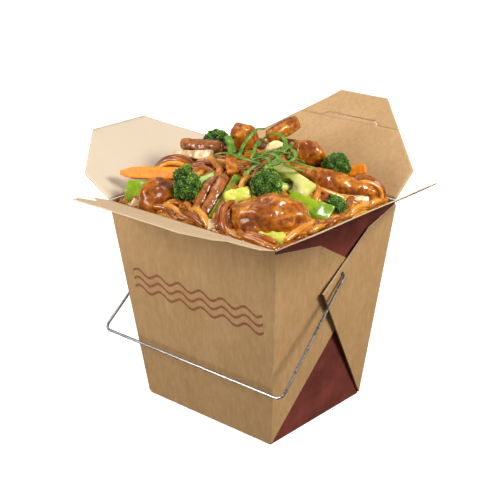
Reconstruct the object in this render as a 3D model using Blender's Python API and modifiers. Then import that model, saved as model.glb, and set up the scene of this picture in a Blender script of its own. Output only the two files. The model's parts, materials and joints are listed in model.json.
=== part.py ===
"""Wire-handled noodle takeaway box, open, heaped with noodles, chicken and vegetables.

Frame: metres, +Z up, origin at the centre of the base, the plain front face towards -Y.
Sizes below are in millimetres and are turned into metres by MM.
"""
import math

import bmesh
import bpy
from mathutils import Euler, Matrix, Quaternion, Vector, noise

MM = 0.001
GAP = 0.35            # clearance kept between neighbouring solids

# The carton: a pail folded from one sheet of board
HEIGHT = 104.0
BASE_X, BASE_Y = 81.0, 68.0
RIM_X, RIM_Y = 105.0, 89.0
BOARD = 0.6
LEAN_X = math.atan((RIM_X - BASE_X) / 2 / HEIGHT)   # outward lean of the two end faces
SLOPE = HEIGHT / math.cos(LEAN_X)                   # height measured up the end face

# Gussets folded flat against each end face, as (y, height) outlines, and how far each is sprung open
GUSSET_THICKNESS = 1.0
GUSSET_BITE = 0.3
FRONT_GUSSET = ((-34.2, 1.0), (-44.3, 102.4), (-12.0, 97.0), (27.4, 73.8))
REAR_GUSSET = ((34.2, 1.0), (-11.0, 73.5), (22.5, 97.0), (44.3, 102.4))
FRONT_SPRING = math.radians(0.5)
REAR_SPRING = math.radians(3.6)

# Flaps: half width at the rim, end of the straight sides, tip distance and half width at the tip
HINGE_OUT, HINGE_UP = 0.75, 0.45                    # crease line, outside and above the rim's outer edge
FLAP_START = 0.3
END_FLAP = [(44.0, FLAP_START), (44.0, 20.0), (17.9, 46.0)]
REAR_CREASE = 39.0
REAR_SHOULDER, REAR_TIP = (52.2, 18.0), (14.8, 56.3)
FRONT_FLAP = [(52.2, FLAP_START), (52.2, 10.0), (40.0, 18.0), (42.0, 29.0), (34.0, 40.0)]
SLIT_HALF, SLIT_DEPTH, SLIT_STEP = 15.4, 2.6, 3.0   # locking slot just beyond the rear crease
OPEN_REAR, OPEN_FRONT = math.radians(38), math.radians(21)
OPEN_LEFT, OPEN_RIGHT = math.radians(29), math.radians(31)
TAB_BEND = math.radians(3)

# Wire bail
WIRE_R = 0.7
PIVOT_Y, PIVOT_Z = 2.8, 79.1
PIVOT_X = 54.6                                      # where the arm leaves its eye, outside the gussets
WIRE_END_X = 49.3
BAIL_X = 58.4
BAIL_REACH = 66.4
BAIL_LEAN = math.radians(49)
EYE_HOLE_R = 1.2
BEND_R, EYE_BEND_R = 3.5, 1.6

# Heap of noodles
HEAP_COLUMNS, HEAP_ROWS = 21, 18
HEAP_RISE = 17.0
HEAP_TILT_X, HEAP_TILT_Y = -0.12, 0.16              # the heap is higher at the back and at the left
HEAP_EDGE = -2.5                                    # its edge, from the rim

NEAR_CORNER = Vector((0.62, -0.69, 0.36)).normalized()


def collection(name):
    made = bpy.data.collections.new(name)
    bpy.context.scene.collection.children.link(made)
    return made


for old in list(bpy.data.objects):
    bpy.data.objects.remove(old, do_unlink=True)
PARTS = collection("noodle_takeaway_box")
CUTTERS = collection("cutters")
MATERIALS = {}


def material(name, color, roughness, metallic=0.0):
    made = bpy.data.materials.new(name)
    made.use_nodes = True
    shader = made.node_tree.nodes["Principled BSDF"]
    shader.inputs["Base Color"].default_value = (*color, 1.0)
    shader.inputs["Roughness"].default_value = roughness
    shader.inputs["Metallic"].default_value = metallic
    MATERIALS[name] = made


material("kraft", (0.47, 0.30, 0.14), 0.75)
material("cream_board", (0.88, 0.76, 0.58), 0.7)
material("wire", (0.35, 0.34, 0.32), 0.35, 1.0)
material("noodles", (0.55, 0.21, 0.04), 0.35)
material("chicken", (0.42, 0.12, 0.03), 0.3)
material("broccoli", (0.06, 0.20, 0.03), 0.6)
material("pale_stem", (0.55, 0.66, 0.18), 0.4)
material("capsicum", (0.25, 0.50, 0.03), 0.3)
material("carrot", (0.90, 0.35, 0.03), 0.4)
material("onion", (0.82, 0.68, 0.50), 0.35)
material("cashew", (0.88, 0.76, 0.48), 0.5)
material("mushroom", (0.30, 0.11, 0.04), 0.3)


def add_object(name, data, slot=None, group=None):
    made = bpy.data.objects.new(name, data)
    (group or PARTS).objects.link(made)
    if slot:
        data.materials.clear()
        data.materials.append(MATERIALS[slot])
    return made


def mesh_object(name, bm, slot=None, group=None, smooth=False):
    bmesh.ops.recalc_face_normals(bm, faces=bm.faces)
    if bm.calc_volume(signed=True) < 0:
        bmesh.ops.reverse_faces(bm, faces=bm.faces)
    mesh = bpy.data.meshes.new(name)
    bm.to_mesh(mesh)
    bm.free()
    if smooth:
        mesh.shade_smooth()
    return add_object(name, mesh, slot, group)


def outline_curve(name, points, thickness, slot=None, group=None):
    """A flat closed outline in the local XY plane, as thick as asked, centred on the plane."""
    curve = bpy.data.curves.new(name, "CURVE")
    curve.dimensions = "2D"
    curve.fill_mode = "BOTH"
    curve.extrude = thickness / 2 * MM
    spline = curve.splines.new("POLY")
    spline.points.add(len(points) - 1)
    for point, (x, y) in zip(spline.points, points):
        point.co = (x * MM, y * MM, 0, 1)
    spline.use_cyclic_u = True
    return add_object(name, curve, slot, group)


def baked(obj):
    """The object's evaluated mesh in world space, with its loose caps joined, as a new mesh object."""
    bpy.context.view_layer.update()
    evaluated = obj.evaluated_get(bpy.context.evaluated_depsgraph_get())
    mesh = bpy.data.meshes.new_from_object(evaluated)
    mesh.transform(obj.matrix_world)
    if obj.type == "CURVE":
        bm = bmesh.new()
        bm.from_mesh(mesh)
        bmesh.ops.remove_doubles(bm, verts=bm.verts, dist=0.00001)
        bmesh.ops.recalc_face_normals(bm, faces=bm.faces)
        bm.to_mesh(mesh)
        bm.free()
    name, groups = obj.name, list(obj.users_collection)
    bpy.data.objects.remove(obj, do_unlink=True)
    made = bpy.data.objects.new(name, mesh)
    groups[0].objects.link(made)
    return made


def as_cutter(obj):
    obj.hide_render = True
    obj.display_type = "WIRE"
    return obj


def boolean(obj, other, operation, solver="EXACT"):
    modifier = obj.modifiers.new(operation.lower() + "_" + other.name, "BOOLEAN")
    modifier.operation = operation
    modifier.solver = solver
    modifier.object = other
    return modifier


# ---------------------------------------------------------------- carton

def end_face_matrix(side):
    """Local X along +Y, local Y up the end face, local Z out of it, for the face at side * X."""
    up = Vector((side * math.sin(LEAN_X), 0, math.cos(LEAN_X)))
    out = Vector((side * math.cos(LEAN_X), 0, -math.sin(LEAN_X)))
    along = up.cross(out)
    frame = Matrix((along, up, out)).transposed().to_4x4()
    return Matrix.Translation((side * BASE_X / 2 * MM, 0, 0)) @ frame


def gusset(name, outline, side, spring, level):
    """One folded corner: a board plate hinged on the corner edge and sprung open by an angle."""
    points = [(side * y, z / math.cos(LEAN_X)) for y, z in outline]
    plate = outline_curve(name, points, GUSSET_THICKNESS, group=CUTTERS)
    ends = (points[0], points[-1] if outline is REAR_GUSSET else points[1])
    foot = Vector((*ends[0], 0)) * MM
    edge = Vector((ends[1][0] - ends[0][0], ends[1][1] - ends[0][1], 0)).normalized()
    tip = Vector((points[1][0] if outline is REAR_GUSSET else points[3][0], 0, 0)) * MM
    turn = spring if edge.cross(tip - foot).z > 0 else -spring
    lift = Matrix.Translation((0, 0, (GUSSET_THICKNESS / 2 - GUSSET_BITE + level) * MM))
    swing = Matrix.Translation(foot) @ Matrix.Rotation(turn, 4, edge) @ Matrix.Translation(-foot)
    plate.matrix_world = end_face_matrix(side) @ lift @ swing
    return as_cutter(baked(plate))


def build_carton():
    bm = bmesh.new()
    bmesh.ops.create_cube(bm, size=1.0)
    top = [face for face in bm.faces if face.normal.z > 0.5]
    bmesh.ops.delete(bm, geom=top, context="FACES_ONLY")
    for vert in bm.verts:
        wide, deep, height = (RIM_X, RIM_Y, HEIGHT) if vert.co.z > 0 else (BASE_X, BASE_Y, 0)
        x, y = math.copysign(wide / 2, vert.co.x), math.copysign(deep / 2, vert.co.y)
        vert.co = Vector((x, y, height)) * MM
    carton = mesh_object("carton", bm, "kraft")
    shell = carton.modifiers.new("board", "SOLIDIFY")
    shell.thickness = BOARD * MM
    shell.offset = -1
    shell.use_even_offset = True
    for side, word in ((1, "right"), (-1, "left")):
        boolean(carton, gusset("front_gusset_" + word, FRONT_GUSSET, side, FRONT_SPRING, 0.0), "UNION")
        boolean(carton, gusset("rear_gusset_" + word, REAR_GUSSET, side, REAR_SPRING, 0.2), "UNION")
    bm = bmesh.new()
    bmesh.ops.create_cone(bm, cap_ends=True, segments=12, radius1=EYE_HOLE_R * MM, radius2=EYE_HOLE_R * MM,
                          depth=1.5 * RIM_X * MM)
    eyes = as_cutter(mesh_object("eye_holes", bm, group=CUTTERS))
    across = Matrix.Rotation(math.pi / 2, 4, "Y")
    eyes.matrix_world = Matrix.Translation((0, PIVOT_Y * MM, PIVOT_Z * MM)) @ across
    boolean(carton, eyes, "DIFFERENCE")
    return carton


# ---------------------------------------------------------------- flaps

def hinge_empty(name, place, tilt, heading, parent=None):
    """An empty on a crease: local X runs along the crease and local Y away from it."""
    empty = bpy.data.objects.new(name, None)
    empty.empty_display_size = 0.01
    PARTS.objects.link(empty)
    empty.parent = parent
    empty.location = Vector(place) * MM
    empty.rotation_euler = Euler((tilt, 0, heading))
    return empty


def mirrored(half_outline):
    """A symmetric outline from the points of its right half, listed from the crease to the tip."""
    return half_outline + [(-x, y) for x, y in reversed(half_outline)]


def flap(name, outline, crease, slot):
    plate = outline_curve(name, outline, BOARD, slot)
    plate.parent = crease
    return plate


def taper_at(distance):
    """Half width of the rear flap's tapering part at a distance from its crease on the rim."""
    (wide, start), (narrow, end) = REAR_SHOULDER, REAR_TIP
    return wide + (narrow - wide) * (distance - start) / (end - start)


def build_flaps():
    z = HEIGHT + HINGE_UP
    rear = hinge_empty("crease_rear", (0, RIM_Y / 2 + HINGE_OUT, z), OPEN_REAR, 0)
    front = hinge_empty("crease_front", (0, -RIM_Y / 2 - HINGE_OUT, z), OPEN_FRONT, math.pi)
    right = hinge_empty("crease_right", (RIM_X / 2 + HINGE_OUT, 0, z), OPEN_RIGHT, -math.pi / 2)
    left = hinge_empty("crease_left", (-RIM_X / 2 - HINGE_OUT, 0, z), OPEN_LEFT, math.pi / 2)
    tab = hinge_empty("crease_tab", (0, REAR_CREASE, 0), TAB_BEND, 0, rear)
    stop = REAR_CREASE - GAP
    tongue = [(SLIT_HALF + SLIT_STEP, stop), (SLIT_HALF - GAP, REAR_CREASE + SLIT_DEPTH - GAP)]
    flap("flap_rear", mirrored([(REAR_SHOULDER[0], FLAP_START), REAR_SHOULDER, (taper_at(stop), stop)] + tongue),
         rear, "kraft")
    notch = [(taper_at(REAR_CREASE + GAP), GAP), (REAR_TIP[0], REAR_TIP[1] - REAR_CREASE)]
    slot_edge = [(-SLIT_HALF - SLIT_STEP, GAP), (-SLIT_HALF, SLIT_DEPTH), (SLIT_HALF, SLIT_DEPTH),
                 (SLIT_HALF + SLIT_STEP, GAP)]
    flap("flap_rear_tab", mirrored(notch) + slot_edge, tab, "kraft")
    flap("flap_front", mirrored(FRONT_FLAP), front, "kraft")
    flap("flap_right", mirrored(END_FLAP), right, "cream_board")
    flap("flap_left", mirrored(END_FLAP), left, "cream_board")


# ---------------------------------------------------------------- bail

def rounded_path(corners, radii, steps):
    """A polyline through the corners with each inner corner replaced by an arc of its radius."""
    path = [corners[0]]
    for before, corner, after, radius in zip(corners, corners[1:], corners[2:], radii):
        back, ahead = (before - corner).normalized(), (after - corner).normalized()
        half = back.angle(ahead) / 2
        centre = corner + (back + ahead).normalized() * radius / math.sin(half)
        start = corner + back * radius / math.tan(half) - centre
        end = corner + ahead * radius / math.tan(half) - centre
        turn = start.rotation_difference(end)
        path += [centre + Quaternion().slerp(turn, i / steps) @ start for i in range(steps + 1)]
    return path + [corners[-1]]


def build_bail():
    pivot = bpy.data.objects.new("bail_pivot", None)
    pivot.empty_display_size = 0.01
    PARTS.objects.link(pivot)
    pivot.location = Vector((0, PIVOT_Y, PIVOT_Z)) * MM
    pivot.rotation_euler = Euler((-BAIL_LEAN, 0, 0))
    right = [Vector((WIRE_END_X, 0, 0)), Vector((PIVOT_X, 0, 0)), Vector((BAIL_X, 0, -BAIL_REACH))]
    left = [Vector((-p.x, p.y, p.z)) for p in reversed(right)]
    path = rounded_path(right + left, (EYE_BEND_R, BEND_R, BEND_R, EYE_BEND_R), 4)
    curve = bpy.data.curves.new("handle", "CURVE")
    curve.dimensions = "3D"
    curve.bevel_depth = WIRE_R * MM
    curve.bevel_resolution = 2
    curve.use_fill_caps = True
    spline = curve.splines.new("POLY")
    spline.points.add(len(path) - 1)
    for point, place in zip(spline.points, path):
        point.co = (*(place * MM), 1)
    handle = add_object("handle", curve, "wire")
    handle.parent = pivot
    return handle


# ---------------------------------------------------------------- food

def heap_height(x, y):
    """Height of the noodle heap over the base, at a place inside the rim."""
    rise = HEAP_RISE + HEAP_TILT_X * x + HEAP_TILT_Y * y
    dome = (1 - min(1, abs(x) / (RIM_X / 2)) ** 5) * (1 - min(1, abs(y) / (RIM_Y / 2)) ** 5)
    lumps = noise.noise(Vector((x, y, 0)) / 11) * 3.0 + noise.noise(Vector((x, y, 40)) / 5) * 1.2
    return HEIGHT + HEAP_EDGE + dome * (rise + lumps)


def build_heap():
    wall = BOARD + GAP
    bm = bmesh.new()
    bmesh.ops.create_grid(bm, x_segments=HEAP_COLUMNS, y_segments=HEAP_ROWS, size=1.0)
    rim = [edge for edge in bm.edges if edge.is_boundary]
    floor = bmesh.ops.extrude_edge_only(bm, edges=rim)["geom"]
    floor_verts = {item for item in floor if isinstance(item, bmesh.types.BMVert)}
    for vert in bm.verts:
        if vert in floor_verts:
            x, y, z = vert.co.x * (BASE_X / 2 - wall), vert.co.y * (BASE_Y / 2 - wall), wall
        else:
            x, y = vert.co.x * (RIM_X / 2 - wall - 0.35), vert.co.y * (RIM_Y / 2 - wall - 0.35)
            z = heap_height(x, y)
        vert.co = Vector((x, y, z)) * MM
    bmesh.ops.contextual_create(bm, geom=[edge for edge in bm.edges if edge.is_boundary])
    return mesh_object("noodles", bm, "noodles", smooth=True)


def frame_between(start, end, facing):
    """Origin and axes of a piece: along from start to end, out towards facing, side across them."""
    along = (end - start).normalized()
    side = facing.cross(along).normalized()
    return along, side, along.cross(side).normalized()


def strip(name, slot, start, end, width, thickness, facing=NEAR_CORNER, arch=0.0, bow=0.0, ends=(1.0, 1.0),
          full_at=1.0):
    """A cut strip: a band between two points, arched across, bowed along and tapered up to full_at."""
    start, end = Vector(start), Vector(end)
    along, side, out = frame_between(start, end, Vector(facing).normalized())
    bm = bmesh.new()
    bmesh.ops.create_grid(bm, x_segments=6, y_segments=2, size=1.0)
    for vert in bm.verts:
        u, v = (vert.co.x + 1) / 2, vert.co.y
        wide = width / 2 * (ends[0] + (ends[1] - ends[0]) * min(1.0, u / full_at))
        lift = arch * (1 - v * v) + bow * math.sin(math.pi * u)
        vert.co = (start + (end - start) * u + side * wide * v + out * lift) * MM
    made = mesh_object(name, bm, slot, smooth=True)
    body = made.modifiers.new("thickness", "SOLIDIFY")
    body.thickness = thickness * MM
    body.offset = 0
    return baked_as(made, slot)


def baked_as(obj, slot):
    made = baked(obj)
    made.data.materials.clear()
    made.data.materials.append(MATERIALS[slot])
    return made


def rod(name, slot, start, end, radius, facing=NEAR_CORNER, bow=0.0, flat=1.0):
    """A long round piece between two points, bowed towards facing, with blunt rounded ends."""
    start, end = Vector(start), Vector(end)
    along, side, out = frame_between(start, end, Vector(facing).normalized())
    bm = bmesh.new()
    bmesh.ops.create_uvsphere(bm, u_segments=8, v_segments=8, radius=1.0)
    for vert in bm.verts:
        u = (1 - math.cos(math.pi * (vert.co.z + 1) / 2)) / 2
        full = math.sqrt(max(0.0, 1 - vert.co.z ** 4)) / max(1e-6, math.hypot(vert.co.x, vert.co.y))
        if abs(vert.co.z) > 0.9999:
            full = 0.0
        across = (side * vert.co.x + out * vert.co.y * flat) * radius * full
        wave = 1 + 0.12 * noise.noise(start + along * u * 9 + side * vert.co.x)
        vert.co = (start + (end - start) * u + across * wave + out * bow * math.sin(math.pi * u)) * MM
    return mesh_object(name, bm, slot, smooth=True)


def chunk(name, slot, centre, size, heading, seed, detail=3):
    """An uneven lump: an icosphere swollen by noise and sliced flat on a few sides."""
    turn = Euler([math.radians(a) for a in heading]).to_matrix()
    bm = bmesh.new()
    bmesh.ops.create_icosphere(bm, subdivisions=detail, radius=1.0)
    planes = [Vector((noise.noise(Vector((seed, i, 0.3))), noise.noise(Vector((seed, i, 5.7))),
                      noise.noise(Vector((seed, i, 9.1))))).normalized() for i in range(3)]
    for vert in bm.verts:
        place = vert.co * (1 + 0.26 * noise.noise(vert.co * 1.6 + Vector((seed * 3.1, 0, 0))))
        place *= 1 + 0.05 * noise.noise(vert.co * 4.5 + Vector((0, seed * 2.3, 0)))
        for plane in planes:
            over = place.dot(plane) - 0.8
            if over > 0:
                place -= plane * over * 0.85
        scaled = Vector((place.x * size[0], place.y * size[1], place.z * size[2])) / 2
        vert.co = (Vector(centre) + turn @ scaled) * MM
    return mesh_object(name, bm, slot, smooth=True)


def broccoli(name, centre, radius, stem_end, seed, stretch=1.0, detail=3):
    """A floret: a lumpy round head and a stalk that widens into it, joined into one body."""
    centre, stem_end = Vector(centre), Vector(stem_end)
    axis = (centre - stem_end).normalized()
    bm = bmesh.new()
    bmesh.ops.create_icosphere(bm, subdivisions=detail, radius=1.0)
    for vert in bm.verts:
        lump = noise.noise(vert.co * 2.4 + Vector((seed * 1.7, 0, 0))) * 0.22
        lump += noise.noise(vert.co * 6.0 + Vector((0, seed, 0))) * 0.07
        place = vert.co * (1 + lump)
        place.z *= stretch
        back = place.dot(axis)
        if back < -0.45:
            place -= axis * (back + 0.45) * 0.7
        vert.co = (centre + place * radius) * MM
    head = mesh_object(name, bm, "broccoli", smooth=True)
    bm = bmesh.new()
    length = (centre - stem_end).length
    bmesh.ops.create_cone(bm, cap_ends=True, segments=7, radius1=radius * 0.3 * MM, radius2=radius * 0.5 * MM,
                          depth=length * MM)
    stalk = as_cutter(mesh_object(name + "_stalk", bm, group=CUTTERS))
    turn = axis.to_track_quat("Z", "Y").to_matrix().to_4x4()
    stalk.matrix_world = Matrix.Translation((centre + stem_end) / 2 * MM) @ turn
    boolean(head, stalk, "UNION")
    return baked_as(head, "broccoli")


def cashew(name, centre, length, along, facing):
    """A kidney-shaped nut: a stretched ball bent round a quarter circle."""
    along, side, out = frame_between(Vector((0, 0, 0)), Vector(along), Vector(facing).normalized())
    bm = bmesh.new()
    bmesh.ops.create_icosphere(bm, subdivisions=2, radius=1.0)
    bend = length * 0.55
    for vert in bm.verts:
        angle = vert.co.x * 0.95
        reach = bend + vert.co.y * length * 0.23
        flat = along * math.sin(angle) * reach + side * (math.cos(angle) * reach - bend)
        vert.co = (Vector(centre) + flat + out * vert.co.z * length * 0.2) * MM
    return mesh_object(name, bm, "cashew", smooth=True)


def build_toppings():
    """Every piece as large as a berry, the ones that lie on top first."""
    return [
        cashew("cashew", (4.0, 12.0, 130.0), 9.5, (0.6, 0.75, 0.1), NEAR_CORNER),
        broccoli("broccoli_left", (-13.0, -29.5, 116.3), 7.5, (-8.0, -19.5, 121.5), 2.0, stretch=1.6),
        broccoli("broccoli_centre", (19.4, -10.1, 118.6), 8.4, (26.0, 1.0, 117.0), 5.0, stretch=0.85),
        broccoli("broccoli_right", (30.6, 26.2, 121.0), 6.8, (20.0, 30.0, 112.0), 7.0, detail=2),
        broccoli("broccoli_small", (43.4, 9.4, 107.0), 5.8, (34.0, 15.0, 104.0), 11.0, detail=2),
        broccoli("broccoli_back", (-33.4, 11.5, 125.6), 6.6, (-24.0, 16.0, 118.0), 13.0, detail=2, stretch=0.8),
        chunk("chicken_front", "chicken", (32.6, -25.4, 109.0), (39.0, 24.0, 19.5), (8, 0, 38), 1.0),
        chunk("chicken_left", "chicken", (-28.5, -33.3, 107.0), (22.0, 18.0, 19.0), (0, 10, 40), 2.0),
        chunk("chicken_top", "chicken", (-15.1, 10.7, 130.3), (14.5, 13.5, 16.5), (10, 0, 40), 3.0, detail=2),
        chunk("chicken_right", "chicken", (16.5, 22.5, 126.0), (19.0, 11.0, 12.0), (0, 18, 35), 4.0, detail=2),
        chunk("chicken_long", "chicken", (34.0, 19.5, 114.5), (43.0, 11.0, 12.5), (20, 16, 41), 5.0),
        chunk("noodle_loops_right", "noodles", (42.0, 34.0, 110.5), (20.0, 10.0, 13.0), (0, 16, 41), 6.0, detail=2),
        chunk("noodle_loops_left", "noodles", (-38.5, -13.5, 114.5), (25.0, 12.0, 17.0), (0, -14, 28), 8.0, detail=2),
        rod("chicken_strip_back", "chicken", (-6.5, 19.5, 129.5), (-2.5, 38.0, 135.0), 3.9, bow=1.0),
        strip("carrot_left", "carrot", (-57.5, -31.5, 114.0), (-26.0, -21.0, 117.5), 5.6, 4.6, ends=(0.35, 1.0),
              full_at=0.2),
        strip("carrot_right", "carrot", (31.4, 34.4, 116.5), (37.8, 39.6, 118.3), 4.6, 4.0),
        strip("capsicum_left", "capsicum", (-47.6, -37.6, 108.2), (-39.6, -33.6, 107.2), 13.0, 3.0,
              arch=1.2, ends=(0.8, 1.0)),
        strip("capsicum_right", "capsicum", (29.0, -8.2, 112.3), (45.3, 0.6, 103.6), 15.5, 3.2,
              arch=2.0, bow=1.6, ends=(0.55, 1.0)),
        strip("cabbage_stem", "pale_stem", (9.0, 3.0, 122.5), (34.5, 0.8, 114.2), 9.8, 4.2,
              arch=1.0, bow=2.0, ends=(0.75, 1.0)),
        strip("bean_front", "capsicum", (1.9, -12.8, 119.2), (8.5, -37.9, 106.4), 3.8, 3.2, bow=0.8),
        strip("cabbage_yellow", "pale_stem", (9.4, -28.2, 113.6), (14.6, -18.8, 114.2), 6.5, 2.6, arch=1.6),
        strip("pepper_strip", "carrot", (-9.8, -4.1, 124.0), (-1.6, -11.6, 120.2), 5.4, 2.4, bow=0.8),
        strip("onion_back", "onion", (-48.0, -4.5, 119.4), (-22.4, -4.0, 123.4), 4.6, 2.4, bow=1.4,
              ends=(0.6, 1.0)),
        rod("mushroom_back", "mushroom", (-49.2, 2.6, 122.6), (-36.0, 3.4, 124.4), 3.2, flat=0.8),
        rod("mushroom_top", "mushroom", (-37.0, 0.2, 124.8), (-21.0, 2.6, 126.0), 3.1, bow=1.0, flat=0.8),
        rod("mushroom_front_a", "mushroom", (-8.6, -15.4, 119.6), (-2.0, -37.2, 107.6), 2.9, bow=2.6),
        rod("mushroom_front_b", "mushroom", (-2.4, -16.0, 119.8), (4.2, -38.2, 107.0), 2.7, bow=2.6),
        strip("mushroom_rim", "mushroom", (18.0, -28.0, 113.0), (18.6, -41.2, 104.6), 6.4, 3.2, bow=1.2),
        strip("onion_front", "onion", (10.6, -38.6, 107.2), (13.2, -42.2, 103.4), 4.0, 2.4),
        strip("onion_right", "onion", (36.4, 14.6, 108.8), (48.0, 28.4, 106.6), 6.4, 2.4, arch=1.4),
        strip("cabbage_front", "pale_stem", (38.0, -38.8, 103.6), (46.4, -31.6, 103.8), 6.0, 2.4, arch=1.0),
        strip("onion_left", "onion", (-40.6, -41.2, 105.2), (-36.8, -38.4, 102.4), 5.0, 2.4),
    ]


def inflated(obj):
    """A cutter shaped like the object but larger by the gap on every side."""
    bm = bmesh.new()
    bm.from_mesh(obj.data)
    bm.normal_update()
    moves = [(vert, vert.normal * GAP * MM * min(2.0, vert.calc_shell_factor())) for vert in bm.verts]
    for vert, move in moves:
        vert.co += move
    return as_cutter(mesh_object(obj.name + "_clearance", bm, group=CUTTERS))


def largest_body(obj, slot):
    """Bake the object and keep only its largest connected body."""
    made = baked_as(obj, slot)
    bm = bmesh.new()
    bm.from_mesh(made.data)
    seen, bodies = set(), []
    for vert in bm.verts:
        if vert in seen:
            continue
        body, front = [], [vert]
        seen.add(vert)
        while front:
            current = front.pop()
            body.append(current)
            for edge in current.link_edges:
                other = edge.other_vert(current)
                if other not in seen:
                    seen.add(other)
                    front.append(other)
        bodies.append(body)
    bodies.sort(key=len)
    bmesh.ops.delete(bm, geom=[vert for body in bodies[:-1] for vert in body], context="VERTS")
    bm.to_mesh(made.data)
    bm.free()
    made.data.shade_smooth()
    made.data.set_sharp_from_angle(angle=math.radians(40))
    return made


def touching(one, other):
    """Whether the bounding boxes of two world-space meshes meet."""
    boxes = []
    for obj in (one, other):
        corners = [obj.matrix_world @ Vector(corner) for corner in obj.bound_box]
        boxes.append([(min(c[i] for c in corners), max(c[i] for c in corners)) for i in range(3)])
    return all(a[0] < b[1] and b[0] < a[1] for a, b in zip(*boxes))


def build_food():
    """Toppings and heap, each cut back from the ones over it. EXACT loses bodies in so long a row of cuts."""
    cutters = []
    for piece in build_toppings() + [build_heap()]:
        clearance = inflated(piece)
        near = [cutter for cutter in cutters if touching(piece, cutter)]
        for cutter in near:
            boolean(piece, cutter, "DIFFERENCE", "MANIFOLD")
        if near:
            largest_body(piece, piece.data.materials[0].name)
        cutters.append(clearance)


build_carton()
build_flaps()
build_bail()
build_food()
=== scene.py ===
# %% [markdown]
# # A noodle takeaway box, dressed for its portrait
# The real thing is a pail folded from one sheet of kraft board, with a wire bail, four spread
# flaps and a heap of noodles, glazed chicken and vegetables. The construction comes from a
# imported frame, which never moves; this lesson adds the board's fibres, the print, the strands,
# the florets and the sauce.

import json
import math

import bmesh
import bpy
import numpy as np
from mathutils import Matrix, Quaternion, Vector, noise
from mathutils.bvhtree import BVHTree

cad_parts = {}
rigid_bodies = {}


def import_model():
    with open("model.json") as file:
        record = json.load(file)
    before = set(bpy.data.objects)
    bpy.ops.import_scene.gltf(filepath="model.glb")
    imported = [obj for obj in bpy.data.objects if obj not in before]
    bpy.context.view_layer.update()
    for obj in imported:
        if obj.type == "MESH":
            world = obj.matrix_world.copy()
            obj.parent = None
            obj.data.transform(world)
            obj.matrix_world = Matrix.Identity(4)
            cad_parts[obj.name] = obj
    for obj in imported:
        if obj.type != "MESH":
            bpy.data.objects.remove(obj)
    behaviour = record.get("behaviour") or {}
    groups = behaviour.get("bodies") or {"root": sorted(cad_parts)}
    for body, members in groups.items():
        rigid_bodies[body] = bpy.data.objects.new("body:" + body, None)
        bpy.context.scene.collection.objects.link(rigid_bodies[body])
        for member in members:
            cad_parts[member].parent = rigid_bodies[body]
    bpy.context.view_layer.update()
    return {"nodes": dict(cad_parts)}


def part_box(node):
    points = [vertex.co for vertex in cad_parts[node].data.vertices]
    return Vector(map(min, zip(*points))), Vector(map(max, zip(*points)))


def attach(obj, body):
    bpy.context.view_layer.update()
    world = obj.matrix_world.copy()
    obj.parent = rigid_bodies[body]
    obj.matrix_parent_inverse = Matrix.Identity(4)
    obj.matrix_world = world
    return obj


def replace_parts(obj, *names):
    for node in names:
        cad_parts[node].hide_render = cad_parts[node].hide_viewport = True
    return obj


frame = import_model()
MM = 0.001
carton_low, carton_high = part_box("carton")

# %% [markdown]
# ## The pail's own measures
# Everything is placed from a few lengths of the pail: its height, its base and its rim. The
# walls lean outwards, so a helper tells where an end face lies at any height. The end faces
# carry the gussets, which stand proud of them; the difference decides where ink shows.

# %% The pail's measures
HEIGHT = 104 * MM
BASE_HALF = Vector((40.5, 34.0)) * MM
RIM_HALF = Vector((52.5, 44.5)) * MM
CREASE_OUT, CREASE_UP = 0.75 * MM, 0.45 * MM
BOARD = 0.55 * MM
print("pail stands", round((carton_high - carton_low).z / MM, 1), "mm high")

# %% [markdown]
# ## Camera
# A pail is best seen from its corner, a little above the rim, with a short telephoto, so that
# its walls keep their lean and the food shows.

# %% Camera
CAMERA_TURN, CAMERA_RISE = math.radians(41.83), math.radians(21.17)
CAMERA_ROLL = math.radians(-0.52)
CAMERA_DISTANCE = 588 * MM
CAMERA_OFFSET = Vector((-1.55, 24.73)) * MM

back = Vector((math.sin(CAMERA_TURN) * math.cos(CAMERA_RISE),
               -math.cos(CAMERA_TURN) * math.cos(CAMERA_RISE), math.sin(CAMERA_RISE)))
right = Vector((0, 0, 1)).cross(back).normalized()
up = back.cross(right)
tilted_right = right * math.cos(CAMERA_ROLL) + up * math.sin(CAMERA_ROLL)
tilted_up = up * math.cos(CAMERA_ROLL) - right * math.sin(CAMERA_ROLL)
lens = bpy.data.cameras.new("portrait_lens")
lens.lens = 85
lens.sensor_width = 36
camera = bpy.data.objects.new("portrait_camera", lens)
bpy.context.scene.collection.objects.link(camera)
turn = Matrix((tilted_right, tilted_up, back)).transposed().to_4x4()
place = Vector((0, 0, HEIGHT / 2)) + back * CAMERA_DISTANCE
place += tilted_right * CAMERA_OFFSET.x + tilted_up * CAMERA_OFFSET.y
camera.matrix_world = Matrix.Translation(place) @ turn
bpy.context.scene.camera = camera
print("camera stands", round(place.length, 3), "m away")

# %% [markdown]
# ## Material helpers
# A finish is a small node graph, and a few helpers keep the graphs short. One makes a node and
# fills its sockets from numbers or other sockets; others do a sum, turn a grey value into
# colours, mix two colours, give a noise, and start a finish or its bump.

# %% Material helpers
def make(tree, kind, sockets=(), **settings):
    made = tree.nodes.new(kind)
    for key, value in settings.items():
        setattr(made, key, value)
    for key, value in dict(sockets).items():
        socket = made.inputs[key]
        if isinstance(value, bpy.types.NodeSocket):
            tree.links.new(value, socket)
        else:
            socket.default_value = value
    return made


def calc(tree, operation, first, second=0.0, third=0.0):
    sockets = {0: first, 1: second, 2: third}
    return make(tree, "ShaderNodeMath", sockets, operation=operation).outputs[0]


def ramp(tree, factor, *stops):
    made = make(tree, "ShaderNodeValToRGB", {"Fac": factor})
    elements = made.color_ramp.elements
    while len(elements) < len(stops):
        elements.new(0.5)
    for element, (position, color) in zip(elements, stops):
        element.position = position
        element.color = (*color, 1) if len(color) == 3 else color
    return made.outputs[0]


def grey(tree, factor, *stops):
    return ramp(tree, factor, *[(position, (value,) * 3) for position, value in stops])


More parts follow.
